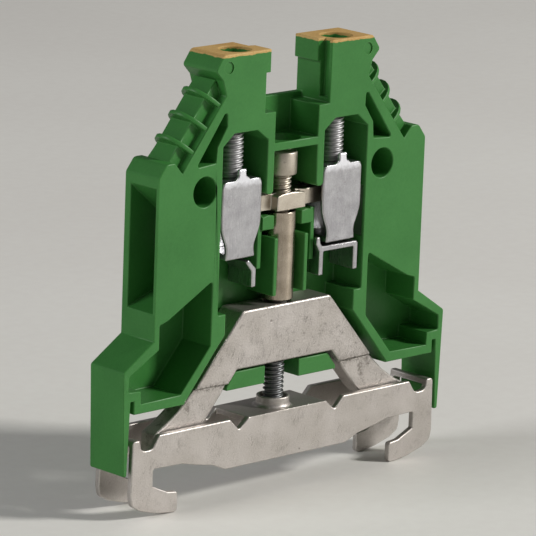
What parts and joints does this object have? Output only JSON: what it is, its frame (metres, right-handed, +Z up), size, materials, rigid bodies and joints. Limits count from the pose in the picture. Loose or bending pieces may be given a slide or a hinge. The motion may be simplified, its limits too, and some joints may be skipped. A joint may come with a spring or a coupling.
{
  "type": "din rail terminal block",
  "caption": "Slim earth terminal block open on one face: two screw clamps on a bar, a grounding bridge and a hooked foot screwed to a 35 mm rail.",
  "frame": {"origin": "middle of the block's length and thickness, level with the lowest point of the rail hooks", "axes": "+X along the block's length, +Y from the open face to the closed face, +Z up, away from the rail"},
  "size_m": [0.0436, 0.0052, 0.0444],
  "materials": {
    "moulded_green": "satin moulded plastic with ochre printed tops",
    "screw_steel": "zinc-plated steel with rolled threads",
    "bar_metal": "warm grey plated metal",
    "bright_sheet": "bright plated sheet with fine scratches",
    "scuffed_stamping": "matt stamped metal with scuffs and pits"
  },
  "bodies": {
    "block": {"housing": "moulded_green", "current_bar": "bar_metal", "spacer_sleeve": "bar_metal", "rail_bridge": "scuffed_stamping"},
    "clamp_screw_left": {"clamp_screw_left": "screw_steel"},
    "clamp_screw_right": {"clamp_screw_right": "screw_steel"},
    "clamp_left": {"clamp_yoke_left": "bright_sheet", "wire_guard_left": "bright_sheet"},
    "clamp_right": {"clamp_yoke_right": "bright_sheet", "wire_guard_right": "bright_sheet"},
    "foot_screw": {"foot_screw": "screw_steel"},
    "foot": {"rail_foot": "scuffed_stamping"}
  },
  "joints": [
    {"name": "clamp_left_lift", "type": "slide", "parent": "block", "child": "clamp_left", "axis": [0, 0, 1], "range_m": [0, 0.0027]},
    {"name": "clamp_right_lift", "type": "slide", "parent": "block", "child": "clamp_right", "axis": [0, 0, 1], "range_m": [0, 0.0027]},
    {"name": "foot_lift", "type": "slide", "parent": "block", "child": "foot", "axis": [0, 0, 1], "range_m": [-0.0009, 0.0017]},
    {"name": "clamp_screw_left_turn", "type": "hinge", "parent": "block", "child": "clamp_screw_left", "pos_m": [-0.0068, -0.0004, 0.0338], "axis": [0, 0, 1], "range_deg": [-2160, 0]},
    {"name": "clamp_screw_right_turn", "type": "hinge", "parent": "block", "child": "clamp_screw_right", "pos_m": [0.0068, -0.0004, 0.0338], "axis": [0, 0, 1], "range_deg": [-2160, 0]},
    {"name": "foot_screw_turn", "type": "hinge", "parent": "block", "child": "foot_screw", "pos_m": [0, -0.0004, 0.02], "axis": [0, 0, 1], "range_deg": [-1360, 720]}
  ],
  "couplings": [
    {"joint": "clamp_screw_left_turn", "follows": "clamp_left_lift", "rad_per_m": -13963},
    {"joint": "clamp_screw_right_turn", "follows": "clamp_right_lift", "rad_per_m": -13963},
    {"joint": "foot_screw_turn", "follows": "foot_lift", "rad_per_m": -13963}
  ]
}
